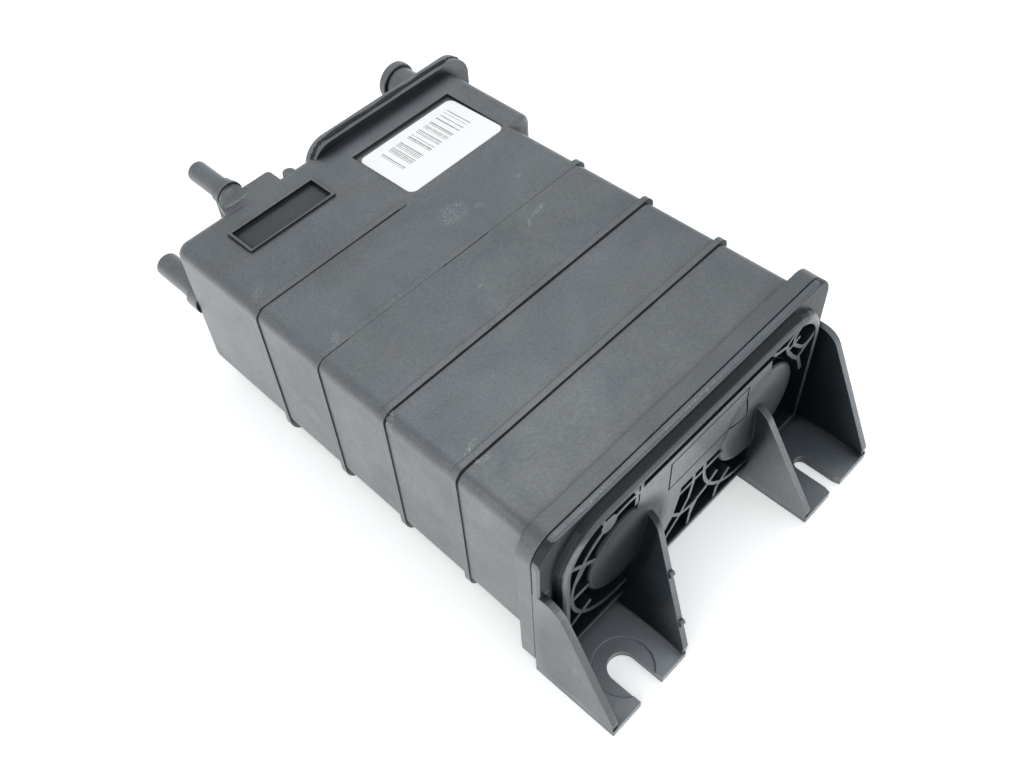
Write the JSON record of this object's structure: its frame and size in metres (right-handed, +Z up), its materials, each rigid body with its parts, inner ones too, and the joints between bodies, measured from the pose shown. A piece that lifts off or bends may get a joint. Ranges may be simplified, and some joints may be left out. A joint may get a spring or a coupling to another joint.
{
  "type": "charcoal canister",
  "caption": "Welded plastic fuel-vapour canister filled with charcoal, with bracket feet on its lid and hose ports at its back.",
  "frame": {"origin": "middle of the lower edge of the weld seam, on the plane that the feet stand on", "axes": "+X to the right when facing the lid, +Y from the lid back towards the ports, +Z up"},
  "size_m": [0.1838, 0.291, 0.0945],
  "materials": {
    "housing_plastic": "satin moulded nylon",
    "lid_plastic": "satin moulded nylon",
    "cover_plastic": "satin moulded nylon",
    "label_paper": "plain white sticker",
    "carbon": "carbon pellets",
    "plate_plastic": "moulded nylon",
    "spring_steel": "bare spring wire",
    "foam": "open-cell foam",
    "fleece": "filter fleece"
  },
  "bodies": {
    "root": {"housing": "housing_plastic", "end_lid": "lid_plastic", "air_cover": "cover_plastic", "label": "label_paper", "carbon_bed_main": "carbon", "carbon_bed_second": "carbon", "fleece_main_lid": "fleece", "fleece_main_port": "fleece", "fleece_second_lid": "fleece", "fleece_second_air": "fleece", "pressure_plate_main": "plate_plastic", "pressure_plate_second": "plate_plastic", "spring_main": "spring_steel", "spring_second": "spring_steel", "air_grid": "plate_plastic", "dust_foam": "foam"}
  },
  "joints": []
}
